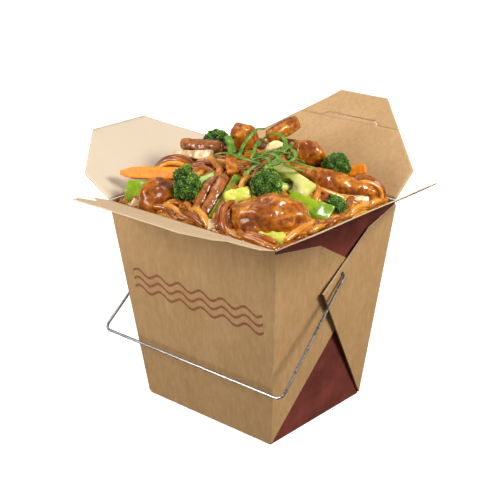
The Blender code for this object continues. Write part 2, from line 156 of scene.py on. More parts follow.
def mix(tree, factor, first, second, blend="MIX"):
    made = tree.nodes.new("ShaderNodeMix")
    made.data_type = "RGBA"
    made.blend_type = blend
    for index, value in ((0, factor), (6, first), (7, second)):
        if isinstance(value, bpy.types.NodeSocket):
            tree.links.new(value, made.inputs[index])
        elif index:
            made.inputs[index].default_value = (*value, 1)
        else:
            made.inputs[index].default_value = value
    return made.outputs[2]


def fuzz(tree, coords, scale, detail=3.0, rough=0.55, stretch=(1, 1, 1)):
    """A noise value with a grain of 1/scale metres."""
    placed = make(tree, "ShaderNodeMapping", {"Vector": coords, "Scale": stretch}).outputs[0]
    sockets = {"Vector": placed, "Scale": scale, "Detail": detail, "Roughness": rough}
    return make(tree, "ShaderNodeTexNoise", sockets).outputs["Fac"]


def new_finish(name, **fixed):
    material = bpy.data.materials.new(name)
    material.use_nodes = True
    tree = material.node_tree
    shader = tree.nodes["Principled BSDF"]
    for key, value in fixed.items():
        shader.inputs[key.replace("_", " ")].default_value = value
    coords = tree.nodes.new("ShaderNodeTexCoord")
    return material, tree, shader, coords


def bump(tree, shader, height, strength, depth_mm):
    sockets = {"Height": height, "Strength": strength, "Distance": depth_mm * MM}
    made = make(tree, "ShaderNodeBump", sockets)
    tree.links.new(made.outputs[0], shader.inputs["Normal"])


print("material helpers ready")

# %% [markdown]
# ## Light
# Board looks flat under a flat light, so three soft boxes stand close by: one low in front, one
# at the right that lets the flap throw a shadow on the end panel, and a weak one above. The
# world is a dim white room, darker from below.

# %% Lights
LIT_POINT = Vector((0, 0, 0.08))


def soft_box(name, place, size, watts, tint=(1, 1, 1)):
    light = bpy.data.lights.new(name, "AREA")
    light.energy = watts
    light.size = size
    light.color = tint
    lamp = bpy.data.objects.new(name, light)
    bpy.context.scene.collection.objects.link(lamp)
    lamp.location = place
    lamp.rotation_euler = (LIT_POINT - Vector(place)).to_track_quat("-Z", "Y").to_euler()


soft_box("front_light", (-0.13, -0.34, 0.23), 0.20, 1.45)
soft_box("side_light", (0.62, 0.15, 0.52), 0.28, 7.5, (1.0, 0.98, 0.95))
soft_box("top_light", (-0.25, 0.10, 0.75), 0.30, 1.0)
world = bpy.data.worlds.new("white_room")
bpy.context.scene.world = world
world.use_nodes = True
room = world.node_tree
direction = room.nodes.new("ShaderNodeTexCoord").outputs["Generated"]
height = make(room, "ShaderNodeSeparateXYZ", {"Vector": direction}).outputs["Z"]
shade = ramp(room, height, (0.0, (0.12, 0.12, 0.12)), (0.25, (0.40, 0.398, 0.394)))
room.links.new(shade, room.nodes["Background"].inputs["Color"])
bpy.context.scene.view_settings.view_transform = "Standard"
print("three soft boxes and a white room")

# %% [markdown]
# ## Kraft board
# Kraft is unbleached pulp: a tan sheet with long pale and dark fibres that run along the
# machine's direction, small flecks, and a little shine where it was rolled. A stretched noise
# makes the fibres, a fine one the flecks, and both drive a shallow bump.

# %% Kraft board
KRAFT_DARK, KRAFT = (0.345, 0.195, 0.078), (0.425, 0.252, 0.110)
# PAINTED_LIGHT_CREAM is painted light: a bare-board tone paled to stand for bright light on the flaps'
# inner sides.
KRAFT_PALE, PAINTED_LIGHT_CREAM = (0.510, 0.325, 0.158), (0.56, 0.485, 0.38)
INK, MAROON, EDGE = (0.235, 0.062, 0.036), (0.140, 0.030, 0.020), (0.58, 0.44, 0.28)


def cloudy_maroon(tree, coords, low, high):
    clouds = fuzz(tree, coords, 60, 4, 0.6)
    dark, light = (tuple(share * c for c in MAROON) for share in (low, high))
    return ramp(tree, clouds, (0.35, dark), (0.65, light))


def kraft_colour(tree, coords, paler=0.0):
    fibres = fuzz(tree, coords, 520, 5, 0.6, (1.0, 1.0, 0.35))
    clouds = fuzz(tree, coords, 60, 4, 0.55, (1.0, 1.0, 0.6))
    flecks = fuzz(tree, coords, 1500, 2, 0.5)
    value = calc(tree, "MULTIPLY_ADD", clouds, 0.40, calc(tree, "MULTIPLY", fibres, 0.60))
    value = calc(tree, "ADD", value, paler)
    colour = ramp(tree, value, (0.25, KRAFT_DARK), (0.50, KRAFT), (0.76, KRAFT_PALE))
    dots = grey(tree, flecks, (0.24, 0.72), (0.34, 1.0))
    return mix(tree, 1.0, colour, dots, "MULTIPLY"), fibres, flecks


def board_bump(tree, shader, fibres, flecks):
    height = calc(tree, "MULTIPLY_ADD", fibres, 0.6, calc(tree, "MULTIPLY", flecks, 0.4))
    bump(tree, shader, height, 0.35, 0.08)
    roughness = grey(tree, fibres, (0.3, 0.62), (0.7, 0.78))
    tree.links.new(roughness, shader.inputs["Roughness"])


def plain_kraft(name, paler):
    material, tree, shader, coords = new_finish(name, Specular_IOR_Level=0.2)
    colour, fibres, flecks = kraft_colour(tree, coords.outputs["Object"], paler)
    tree.links.new(colour, shader.inputs["Base Color"])
    board_bump(tree, shader, fibres, flecks)
    return material


kraft_fold = plain_kraft("kraft_fold", 0.03)
print("kraft board mixed")

# %% [markdown]
# ## The printed carton
# The outside is one print: bare kraft, a band of plain wavy lines across the front in brick
# ink, and solid maroon on the end panels that the gussets half cover. One material can tell
# these places apart, because the gussets stand proud of the end faces: a point on an end face
# that lies close to the leaning plane is maroon, one in front of it is kraft.

# %% The printed carton
WAVE_HALF, WAVE_LENGTH, WAVE_SWING = 42 * MM, 14 * MM, 1.5 * MM
WAVE_LINE = 1.5 * MM
WAVE_HEIGHTS = (69.6 * MM, 65.2 * MM, 60.8 * MM)
INK_DEPTH = 0.3 * MM   # how far a point may stand from the end face and still be inked


def below(tree, value, limit, soft):
    """1 where value is under limit, with a soft edge."""
    past = calc(tree, "SUBTRACT", value, limit - soft)
    return grey(tree, calc(tree, "DIVIDE", past, 2 * soft), (0.0, 1.0), (1.0, 0.0))


def carton_finish():
    material, tree, shader, coords = new_finish("printed_kraft", Specular_IOR_Level=0.2)
    place = make(tree, "ShaderNodeSeparateXYZ", {"Vector": coords.outputs["Object"]}).outputs
    facing = make(tree, "ShaderNodeSeparateXYZ", {"Vector": coords.outputs["Normal"]}).outputs
    colour, fibres, flecks = kraft_colour(tree, coords.outputs["Object"])
    across = calc(tree, "ABSOLUTE", place[0])
    wave = calc(tree, "SINE", calc(tree, "MULTIPLY", place[0], 2 * math.pi / WAVE_LENGTH))
    swing = calc(tree, "MULTIPLY", wave, WAVE_SWING)
    band = 0.0
    for height in WAVE_HEIGHTS:
        off = calc(tree, "SUBTRACT", calc(tree, "SUBTRACT", place[2], height), swing)
        line = below(tree, calc(tree, "ABSOLUTE", off), WAVE_LINE / 2, 0.12 * MM)
        band = calc(tree, "MAXIMUM", band, line)
    band = calc(tree, "MULTIPLY", band, below(tree, across, WAVE_HALF, 0.1 * MM))
    front = calc(tree, "LESS_THAN", facing[1], -0.9)
    worn = grey(tree, flecks, (0.3, 0.55), (0.55, 0.92))
    band = calc(tree, "MULTIPLY", calc(tree, "MULTIPLY", band, front), worn)
    colour = mix(tree, band, colour, INK)
    lean = (RIM_HALF.x - BASE_HALF.x) / HEIGHT
    plane = calc(tree, "MULTIPLY_ADD", place[2], lean, BASE_HALF.x)
    proud = calc(tree, "SUBTRACT", across, plane)
    end = calc(tree, "GREATER_THAN", calc(tree, "ABSOLUTE", facing[0]), 0.7)
    inked = calc(tree, "MULTIPLY", end, below(tree, proud, INK_DEPTH, 0.05 * MM))
    outside = calc(tree, "GREATER_THAN", proud, -INK_DEPTH)
    inked = calc(tree, "MULTIPLY", inked, outside)
    maroon = cloudy_maroon(tree, coords.outputs["Object"], 0.75, 1.35)
    colour = mix(tree, inked, colour, maroon)
    top = calc(tree, "GREATER_THAN", facing[2], 0.8)
    colour = mix(tree, top, colour, EDGE)
    tree.links.new(colour, shader.inputs["Base Color"])
    board_bump(tree, shader, fibres, flecks)
    return material


def restyle(node, material, bevel_mm=0.0):
    piece = frame["nodes"][node]
    piece.data.materials.clear()
    piece.data.materials.append(material)
    if bevel_mm:
        rounded = piece.modifiers.new("soft_edges", "BEVEL")
        rounded.width = bevel_mm * MM
        rounded.segments = 2
        rounded.limit_method = "ANGLE"
        rounded.angle_limit = math.radians(35)
    return piece


restyle("carton", carton_finish(), 0.16)
print("carton printed")

# %% [markdown]
# ## Flaps
# Each flap is the same board, folded out on a crease. A perfectly flat plate looks like sheet
# metal, so each is a grid that is bowed by a millimetre or less, given its thickness with
# Solidify and joined to the rim by a rounded fold. The rear flap has a second crease with a
# locking slot, and its tab turns on its own hinge.

# %% Flap helpers
def link(obj, material=None, body="box"):
    bpy.context.scene.collection.objects.link(obj)
    if material:
        obj.data.materials.clear()
        obj.data.materials.append(material)
    if body:
        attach(obj, body)
    return obj


def half_width(outline, distance):
    """Half width of an outline, given as (half width, distance) points, at a distance."""
    for (wide, start), (narrow, end) in zip(outline, outline[1:]):
        if start <= distance <= end:
            return wide + (narrow - wide) * (distance - start) / (end - start)
    return outline[-1][0]


def crease_frame(crease, heading, rise):
    return Matrix.Translation(crease) @ Matrix.Rotation(heading, 4, "Z") @ Matrix.Rotation(rise, 4, "X")


def straight(x):
    return 0.0


COLUMNS, ROWS = 64, 22
RIPPLE_MM, RIPPLE_WIDE, RIPPLE_LONG = 0.35, 26, 22


def flap_mesh(name, outline, matrix, bow, near_edge, far_edge, seed):
    """A bowed plate in millimetres; near_edge and far_edge shift its ends at each place across."""
    tip = outline[-1][1]
    rows = sorted({distance for _, distance in outline} | {tip * i / ROWS for i in range(ROWS + 1)})
    rows = [row for row in rows if row >= outline[0][1]]
    bm = bmesh.new()
    grid = []
    for row in rows:
        wide = half_width(outline, row)
        line = []
        for i in range(COLUMNS + 1):
            x = wide * (2 * i / COLUMNS - 1)
            start, stop = near_edge(x), tip + far_edge(x)
            y = start + (stop - start) * row / tip
            lift = bow * math.sin(math.pi * min(1, y / tip)) * (1 - 0.6 * (x / wide) ** 2)
            ripple = noise.noise(Vector((x / RIPPLE_WIDE, y / RIPPLE_LONG, seed)))
            lift += RIPPLE_MM * ripple * min(1, y / 8)
            line.append(bm.verts.new(matrix @ (Vector((x, y, lift)) * MM)))
        grid.append(line)
    for near, far in zip(grid, grid[1:]):
        for i in range(COLUMNS):
            bm.faces.new((near[i], near[i + 1], far[i + 1], far[i]))
    mesh = bpy.data.meshes.new(name)
    bm.to_mesh(mesh)
    bm.free()
    mesh.shade_smooth()
    piece = bpy.data.objects.new(name, mesh)
    board = piece.modifiers.new("board", "SOLIDIFY")
    board.thickness = BOARD
    board.offset = 0
    board.use_rim = True
    return piece


print("flap grid:", COLUMNS, "by", ROWS)

# %% [markdown]
# ## Two sides of a flap
# The inner and outer sides of a flap differ: the side flaps are maroon outside, and the cut edge shows
# the pulp. Inside, every flap is the same bare board; the side flaps are painted pale cream and the front
# flap tan, as painted light for how brightly each is lit, while the rear flap keeps plain kraft. The side
# can be told from the plate's own normal, which points up and inwards on the inner side.

# %% Flap finish
def flap_finish(name, inner_up, inner, outer, crease=None):
    """inner_up is the inner side's normal; inner and outer are colour makers."""
    material, tree, shader, coords = new_finish(name, Specular_IOR_Level=0.2)
    kraft, fibres, flecks = kraft_colour(tree, coords.outputs["Object"], 0.16)
    facing = make(tree, "ShaderNodeVectorMath", {0: coords.outputs["Normal"], 1: inner_up},
                  operation="DOT_PRODUCT").outputs["Value"]
    inside = calc(tree, "GREATER_THAN", facing, 0.5)
    outside = calc(tree, "LESS_THAN", facing, -0.5)
    colour = mix(tree, inside, EDGE, inner(tree, coords, kraft))
    colour = mix(tree, outside, colour, outer(tree, coords, kraft))
    # A darker line is painted along the rear flap's second crease: partly the scored board's own mark,
    # partly painted shade in the fold.
    if crease:
        origin, along, distance = crease
        offset = make(tree, "ShaderNodeVectorMath", {0: coords.outputs["Object"], 1: origin},
                      operation="SUBTRACT").outputs[0]
        reach = make(tree, "ShaderNodeVectorMath", {0: offset, 1: along},
                     operation="DOT_PRODUCT").outputs["Value"]
        off = calc(tree, "ABSOLUTE", calc(tree, "SUBTRACT", reach, distance))
        line = below(tree, off, 0.25 * MM, 0.25 * MM)
        colour = mix(tree, calc(tree, "MULTIPLY", line, 0.55), colour, KRAFT_DARK)
    tree.links.new(colour, shader.inputs["Base Color"])
    board_bump(tree, shader, fibres, flecks)
    return material


def as_kraft(tree, coords, kraft):
    return kraft


# Painted light: the bare inner board paled most of the way to cream, for the brightly lit side flaps.
def as_painted_light_cream(tree, coords, kraft):
    return mix(tree, 0.20, PAINTED_LIGHT_CREAM, kraft)


# Painted light: the bare inner board paled partway to cream, for the lit front flap.
def as_painted_light_tan(tree, coords, kraft):
    return mix(tree, 0.65, PAINTED_LIGHT_CREAM, kraft)


def as_maroon(tree, coords, kraft):
    return cloudy_maroon(tree, coords.outputs["Object"], 0.8, 1.3)


print("flap finishes ready")

# %% [markdown]
# ## The flaps' outlines
# Each outline is a list of half widths at distances from the crease, because the flaps are the
# same on both sides of their middle. The rear flap is cut in two at its second crease, where a
# tongue on the flap sits in a slit in the tab.

# %% Build the flaps
REAR_RISE, FRONT_RISE = math.radians(38), math.radians(21)
LEFT_RISE, RIGHT_RISE = math.radians(29), math.radians(31)
TAB_BEND = math.radians(3)
REAR_CREASE, REAR_TIP = 39.0, 56.15
REAR = [(52.2, 0.0), (52.2, 18.0), (14.8, REAR_TIP)]
REAR_MAIN = [(52.2, 0.0), (52.2, 18.0), (half_width(REAR, REAR_CREASE), REAR_CREASE)]
REAR_TAB = [(half_width(REAR, REAR_CREASE), 0.0), (14.8, REAR_TIP - REAR_CREASE)]
SIDE = [(44.0, 0.0), (44.0, 20.0), (17.9, 45.9)]
FRONT = [(52.2, 0.0), (52.2, 10.0), (40.0, 18.0), (42.0, 29.0), (34.0, 39.85)]
SLIT_HALF, SLIT_SLANT, SLIT_DEPTH, SLIT_ROOM = 18.4, 3.0, 2.6, 0.35
top_z = HEIGHT + CREASE_UP


def slit_edge(x):
    """The tab's near edge: back from the crease along the slit, with slanted ends."""
    return SLIT_DEPTH * min(1.0, max(0.0, (SLIT_HALF - abs(x)) / SLIT_SLANT))


def tongue_edge(x):
    """The flap's far edge: a tongue that fills the slit and leaves a hair of room."""
    return max(0.0, slit_edge(x) - SLIT_ROOM)


def inner_normal(heading, rise):
    turned = Matrix.Rotation(heading, 3, "Z") @ Matrix.Rotation(rise, 3, "X")
    return tuple(turned @ Vector((0, 0, 1)))


def build_flap(name, node, body, outline, crease, heading, rise, bow, colours, seed, line=None,
               near=straight, far=straight):
    matrix = crease_frame(crease, heading, rise)
    piece = flap_mesh(name, outline, matrix, bow, near, far, seed)
    link(piece, flap_finish(name + "_board", inner_normal(heading, rise), *colours, crease=line), body)
    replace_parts(piece, node)


rim_x, rim_y = RIM_HALF.x + CREASE_OUT, RIM_HALF.y + CREASE_OUT
rear_line = Vector((0, rim_y, top_z))
rear_along = Vector((0, math.cos(REAR_RISE), math.sin(REAR_RISE)))
tab_line = rear_line + rear_along * REAR_CREASE * MM
fold_line = (tuple(rear_line), tuple(rear_along), REAR_CREASE * MM)
build_flap("rear_flap_board", "flap_rear", "rear_flap", REAR_MAIN, rear_line, 0, REAR_RISE, -0.5,
           (as_kraft, as_kraft), 1.0, fold_line, far=tongue_edge)
build_flap("rear_tab_board", "flap_rear_tab", "rear_tab", REAR_TAB, tab_line, 0,
           REAR_RISE + TAB_BEND, -0.2, (as_kraft, as_kraft), 2.0, fold_line, near=slit_edge)
build_flap("front_flap_board", "flap_front", "front_flap", FRONT, Vector((0, -rim_y, top_z)),
           math.pi, FRONT_RISE, -0.5, (as_painted_light_tan, as_kraft), 3.0)
build_flap("right_flap_board", "flap_right", "right_flap", SIDE, Vector((rim_x, 0, top_z)),
           -math.pi / 2, RIGHT_RISE, -0.3, (as_painted_light_cream, as_maroon), 4.0)
build_flap("left_flap_board", "flap_left", "left_flap", SIDE, Vector((-rim_x, 0, top_z)),
           math.pi / 2, LEFT_RISE, -0.5, (as_painted_light_cream, as_maroon), 5.0)
print("five pieces of flap")

# %% [markdown]
# ## The folded rim
# Board can't be folded to a knife edge: along the rim it rolls over in a small round that hides
# the hinge line. A thin bevelled curve along each side makes that roll. It stays just inside the
# crease, so that it leaves room for a flap at any angle.

# %% Tubes from curves
def tube_curve(name, routes, bevel):
    """A round tube along each route, a list of (place, width) pairs; width scales the bevel."""
    curve = bpy.data.curves.new(name, "CURVE")
    curve.dimensions = "3D"
    curve.bevel_depth = bevel
    curve.bevel_resolution = 3
    curve.use_fill_caps = True
    for route in routes:
        spline = curve.splines.new("POLY")
        spline.points.add(len(route) - 1)
        for point, (place, width) in zip(spline.points, route):
            point.co = (*place, 1)
            point.radius = width
    return bpy.data.objects.new(name, curve)


print("tube maker ready")

# %% The folded rim
FOLD_RADIUS, FOLD_OUT = 0.4 * MM, 0.05 * MM
SIDE_SHARE = 0.004   # the share of a side that is left free at each corner
fold_half = RIM_HALF + Vector((FOLD_OUT, FOLD_OUT))
corners = [Vector((x * fold_half.x, y * fold_half.y, HEIGHT))
           for x, y in ((-1, -1), (1, -1), (1, 1), (-1, 1))]
sides = [[(start.lerp(end, share), 1.0) for share in (SIDE_SHARE, 1 - SIDE_SHARE)]
         for start, end in zip(corners, corners[1:] + corners[:1])]
link(tube_curve("rim_fold", sides, FOLD_RADIUS), kraft_fold)
print("rim folded on", len(sides), "sides")

# %% [markdown]
# ## The wire bail
# The bail is drawn steel wire. Its frame solid already has the right bends, so it only needs a
# metal: a little rough, with fine lines that drawing through a die leaves along the wire.

# %% Wire finish
wire, tree, shader, coords = new_finish("drawn_wire", Metallic=1.0, Roughness=0.32)
lines = fuzz(tree, coords.outputs["Object"], 900, 3, 0.5, (0.08, 1, 1))
steel = ramp(tree, lines, (0.3, (0.30, 0.28, 0.26)), (0.7, (0.52, 0.50, 0.47)))
tree.links.new(steel, shader.inputs["Base Color"])
tree.links.new(grey(tree, lines, (0.3, 0.26), (0.7, 0.42)), shader.inputs["Roughness"])
handle = restyle("handle", wire)
handle.data.shade_smooth()
print("wire finished")

# %% [markdown]
# ## Working from a frame solid
# Each piece of food in the frame is a simple closed solid with the right size and place. A copy
# of it is remeshed into small even faces, smoothed, and then shaped point by point with noise
# of several sizes. So the fine piece always sits exactly where the solid does.

# %% Remesh helper
def node_mesh(name):
    """A welded copy of a frame solid's mesh."""
    bm = bmesh.new()
    bm.from_mesh(frame["nodes"][name].data)
    bm.transform(frame["nodes"][name].matrix_world)
    bmesh.ops.remove_doubles(bm, verts=bm.verts, dist=0.00001)
    mesh = bpy.data.meshes.new(name + "_copy")
    bm.to_mesh(mesh)
    bm.free()
    return mesh


def evaluated_mesh(piece):
    bpy.context.view_layer.update()
    graph = bpy.context.evaluated_depsgraph_get()
    return bpy.data.meshes.new_from_object(piece.evaluated_get(graph))


def fine_copy(name, node, voxel_mm, smoothing, grow_mm=0.15):
    """A finely and evenly meshed copy of a frame solid, smoothed and grown a little."""
    piece = bpy.data.objects.new(name, node_mesh(node))
    bpy.context.scene.collection.objects.link(piece)
    remesh = piece.modifiers.new("even", "REMESH")
    remesh.mode = "VOXEL"
    remesh.voxel_size = voxel_mm * MM
    mesh = evaluated_mesh(piece)
    bpy.data.objects.remove(piece, do_unlink=True)
    bm = bmesh.new()
    bm.from_mesh(mesh)
    for _ in range(smoothing):
        bmesh.ops.smooth_vert(bm, verts=bm.verts, factor=0.5,
                              use_axis_x=True, use_axis_y=True, use_axis_z=True)
    bm.normal_update()
    for vert in bm.verts:
        vert.co += vert.normal * grow_mm * MM
    bm.to_mesh(mesh)
    bm.free()
    mesh.shade_smooth()
    return mesh


def sculpt(mesh, layers, seed=0.0):
    """Moves each point along its normal by noise; layers are (grain mm, height mm, kind)."""
    normals = [vert.normal.copy() for vert in mesh.vertices]
    shift = Vector((seed * 7.3, seed * 3.1, seed * 5.9))
    for vert, normal in zip(mesh.vertices, normals):
        lift = 0.0
        for grain, height, kind in layers:
            value = noise.noise(vert.co / MM / grain + shift)
            lift += height * (1 - 2 * abs(value) if kind == "ridge" else value)
        vert.co += normal * lift * MM
    mesh.update()


def dress(name, node, mesh, material):
    piece = bpy.data.objects.new(name, mesh)
    link(piece, material)
    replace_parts(piece, node)
    return piece


print("remesh and sculpt ready")

# %% [markdown]
# ## Glazed chicken
# Thigh pieces fried in sauce: tan meat inside a dark, sticky skin. The glaze is thick in the
# hollows and thin over the bumps, so the colour follows the surface's own curve (pointiness)
# as well as a cloud of noise, and a clear coat with a broken roughness gives the wet sparkle.

# %% Glazed chicken
def glow_inside(shader, weight, radius, scale):
    """Light that enters the food and leaves it again a little further on."""
    shader.inputs["Subsurface Weight"].default_value = weight
    shader.inputs["Subsurface Radius"].default_value = radius
    shader.inputs["Subsurface Scale"].default_value = scale


def glazed(name, dark, middle, light, gloss=0.22, grain=170):
    material, tree, shader, coords = new_finish(
        name, Coat_Weight=0.8, Coat_Roughness=0.07, Coat_IOR=1.4, Specular_IOR_Level=0.15)
    place = coords.outputs["Object"]
    curve = tree.nodes.new("ShaderNodeNewGeometry").outputs["Pointiness"]
    hollows = grey(tree, curve, (0.44, 0.0), (0.56, 1.0))
    clouds = fuzz(tree, place, grain, 5, 0.6)
    value = calc(tree, "MULTIPLY_ADD", hollows, 0.35, calc(tree, "MULTIPLY", clouds, 0.65))
    colour = ramp(tree, value, (0.30, dark), (0.50, middle), (0.70, light))
    char = grey(tree, fuzz(tree, place, 260, 5, 0.7), (0.34, 0.40), (0.48, 1.0))
    colour = mix(tree, 0.7, colour, char, "MULTIPLY")
    tree.links.new(colour, shader.inputs["Base Color"])
    wet = fuzz(tree, place, 300, 3, 0.5)
    tree.links.new(grey(tree, wet, (0.35, gloss), (0.65, gloss + 0.22)), shader.inputs["Roughness"])
    grit = fuzz(tree, place, 900, 3, 0.6)
    pits = calc(tree, "MULTIPLY_ADD", grit, 0.5, calc(tree, "MULTIPLY", wet, 0.5))
    bump(tree, shader, pits, 0.45, 0.25)
    glow_inside(shader, 0.12, (1.0, 0.35, 0.12), 2.0 * MM)
    return material


chicken = glazed("chicken_glaze", (0.055, 0.008, 0.001), (0.290, 0.070, 0.003),
                 (0.640, 0.250, 0.016), grain=110)
CHICKEN_LAYERS = ((9.0, 0.9, "soft"), (4.2, 0.40, "ridge"), (1.7, 0.16, "soft"), (0.7, 0.07, "soft"))
chicken_nodes = [name for name in frame["nodes"] if name.startswith("chicken")]
for count, node in enumerate(sorted(chicken_nodes)):
    mesh = fine_copy(node + "_skin", node, 0.55, 4)
    sculpt(mesh, CHICKEN_LAYERS, count + 1)
    dress(node + "_skin", node, mesh, chicken)
print("pieces of chicken:", len(chicken_nodes))

# %% [markdown]
# ## Cut vegetables
# Carrot, capsicum, beans, cabbage, onion, mushroom and nut share one making: a fine copy of the
# solid, lightly waved, and a finish of its own. The finishes differ in their two colours, their
# grain and their gloss, and some are stained by the sauce. Only leaves are deeply ridged.

# %% Vegetable finishes
def vegetable(name, dark, light, gloss, grain, coat=0.35, glow=0.25, wash=None):
    material, tree, shader, coords = new_finish(
        name, Coat_Weight=coat, Coat_Roughness=0.10, Specular_IOR_Level=0.25)
    place = coords.outputs["Object"]
    clouds = fuzz(tree, place, grain, 5, 0.6)
    colour = ramp(tree, clouds, (0.36, dark), (0.64, light))
    if wash:
        stain = grey(tree, fuzz(tree, place, 130, 3, 0.5), (0.50, 0.0), (0.68, 0.75))
        colour = mix(tree, stain, colour, wash)
    tree.links.new(colour, shader.inputs["Base Color"])
    wet = fuzz(tree, place, 500, 3, 0.5)
    tree.links.new(grey(tree, wet, (0.35, gloss), (0.65, gloss + 0.2)), shader.inputs["Roughness"])
    bump(tree, shader, clouds, 0.45, 0.2)
    glow_inside(shader, glow, (1.0, 0.8, 0.3), 2.5 * MM)
    return material


SAUCE = (0.36, 0.105, 0.010)
vegetable_finishes = {
    "carrot": vegetable("carrot_flesh", (0.64, 0.165, 0.001), (0.80, 0.27, 0.003), 0.45, 500,
                        coat=0.05, glow=0.1),
    "pepper": vegetable("pepper_flesh", (0.50, 0.115, 0.005), (0.78, 0.27, 0.020), 0.25, 400, wash=SAUCE),
    "capsicum": vegetable("capsicum_skin", (0.110, 0.225, 0.001), (0.270, 0.370, 0.003), 0.16, 160,
                          coat=0.5, glow=0.12),
    "bean": vegetable("bean_skin", (0.085, 0.160, 0.005), (0.210, 0.300, 0.012), 0.25, 240, wash=SAUCE),
    "cabbage": vegetable("cabbage_rib", (0.36, 0.40, 0.020), (0.66, 0.62, 0.12), 0.30, 220, glow=0.12),
    "cabbage_stem": vegetable("cabbage_stalk", (0.36, 0.44, 0.025), (0.74, 0.68, 0.27), 0.35, 90,
                              glow=0.12),
    "onion": vegetable("onion_layer", (0.58, 0.38, 0.16), (0.82, 0.68, 0.42), 0.25, 320, wash=SAUCE),
    "mushroom": vegetable("mushroom_flesh", (0.120, 0.026, 0.004), (0.400, 0.130, 0.022), 0.20, 260,
                          coat=0.7),
    "cashew": vegetable("cashew_flesh", (0.76, 0.58, 0.25), (0.90, 0.78, 0.45), 0.45, 500, coat=0.1),
}
print("vegetable finishes:", len(vegetable_finishes))

# %% Cut vegetables
PLAIN_LAYERS = ((6.0, 0.45, "soft"), (2.2, 0.22, "soft"), (0.9, 0.07, "soft"))
LEAF_LAYERS = ((7.0, 0.9, "ridge"), (3.0, 0.35, "ridge"), (1.2, 0.10, "soft"))
SKIN_LAYERS = ((7.0, 0.5, "soft"), (3.0, 0.12, "soft"))
shaping = {"cabbage": LEAF_LAYERS, "cabbage_stem": SKIN_LAYERS, "capsicum": SKIN_LAYERS,
           "cashew": SKIN_LAYERS}
dressed = 0
for count, node in enumerate(sorted(frame["nodes"])):
    kind = node.split("_")[0]
    if kind in vegetable_finishes:
        mesh = fine_copy(node + "_cut", node, 0.4, 3)
        sculpt(mesh, shaping.get(node, shaping.get(kind, PLAIN_LAYERS)), count * 0.7)
        dress(node + "_cut", node, mesh, vegetable_finishes.get(node, vegetable_finishes[kind]))
        dressed += 1
print("cut vegetables:", dressed)

# %% [markdown]
# ## Broccoli
# A floret is a branching thing: a pale stalk, a crown of small domes, and on every dome a crust
# of tight green buds. Real buds make the outline break up, which no bump map can do, so they
# are meshed: a tiny ball is copied over each dome, and the domes over the crown.

# %% Ball scatter
def ball_template(level):
    bm = bmesh.new()
    bmesh.ops.create_icosphere(bm, subdivisions=level, radius=1.0)
    points = np.array([vert.co for vert in bm.verts])
    faces = np.array([[vert.index for vert in face.verts] for face in bm.faces])
    bm.free()
    return points, faces


BUD_POINTS, BUD_FACES = ball_template(1)


def balls_mesh(name, places, radii, tints):
    """One mesh of many small balls, with each ball's tint kept on its points."""
    count = len(places)
    points = places[:, None, :] + BUD_POINTS[None, :, :] * radii[:, None, :]
    faces = BUD_FACES[None, :, :] + (np.arange(count) * len(BUD_POINTS))[:, None, None]
    mesh = bpy.data.meshes.new(name)
    mesh.from_pydata(points.reshape(-1, 3).tolist(), [], faces.reshape(-1, 3).tolist())
    layer = mesh.attributes.new("tint", "FLOAT", "POINT")
    layer.data.foreach_set("value", np.repeat(tints, len(BUD_POINTS)).astype(np.float32))
    mesh.shade_smooth()
    return mesh


def sphere_points(count):
    """Evenly spread directions on a sphere, by the golden angle."""
    index = np.arange(count) + 0.5
    polar = np.arccos(1 - 2 * index / count)
    turn = math.pi * (1 + 5 ** 0.5) * index
    return np.stack([np.cos(turn) * np.sin(polar), np.sin(turn) * np.sin(polar), np.cos(polar)], axis=1)


print("faces in a bud:", len(BUD_FACES))

# %% [markdown]
# ## Two greens
# The buds are painted nearly black in the gaps between domes, which is painted shade, and yellow green on
# the domes' crowns, which is painted light. Each ball carries a tint of its own, so the colour changes
# from bud to bud and not only in clouds. The stalk is pale.

# %% Broccoli finishes
def bud_finish():
    material, tree, shader, coords = new_finish(
        "broccoli_bud", Roughness=0.5, Coat_Weight=0.2, Specular_IOR_Level=0.3)
    tint = make(tree, "ShaderNodeAttribute", attribute_name="tint").outputs["Fac"]
    clouds = fuzz(tree, coords.outputs["Object"], 700, 2, 0.5)
    value = calc(tree, "MULTIPLY_ADD", tint, 0.75, calc(tree, "MULTIPLY", clouds, 0.25))
    # The near-black stop is painted shade for the gaps between domes, and the yellow-green stop is
    # painted light on the domes' crowns.
    colour = ramp(tree, value, (0.12, (0.008, 0.030, 0.002)), (0.42, (0.045, 0.125, 0.006)),
                  (0.68, (0.130, 0.270, 0.012)), (0.95, (0.380, 0.560, 0.045)))
    tree.links.new(colour, shader.inputs["Base Color"])
    bump(tree, shader, clouds, 0.4, 0.15)
    return material


def stalk_finish():
    material, tree, shader, coords = new_finish(
        "broccoli_stalk", Roughness=0.4, Coat_Weight=0.3, Coat_Roughness=0.2)
    fibres = fuzz(tree, coords.outputs["Object"], 420, 4, 0.6)
    colour = ramp(tree, fibres, (0.35, (0.26, 0.42, 0.050)), (0.65, (0.52, 0.66, 0.15)))
    tree.links.new(colour, shader.inputs["Base Color"])
    bump(tree, shader, fibres, 0.4, 0.2)
    return material


buds, stalk = bud_finish(), stalk_finish()
print("broccoli finishes ready")

# %% [markdown]
# ## Crown and stalk
# The crown follows the frame's solid: domes are dropped on its surface from the outside, and
# the side that faces the stalk is left bare. The stalk forks into branches that end under the
# domes, as it does on a real floret.

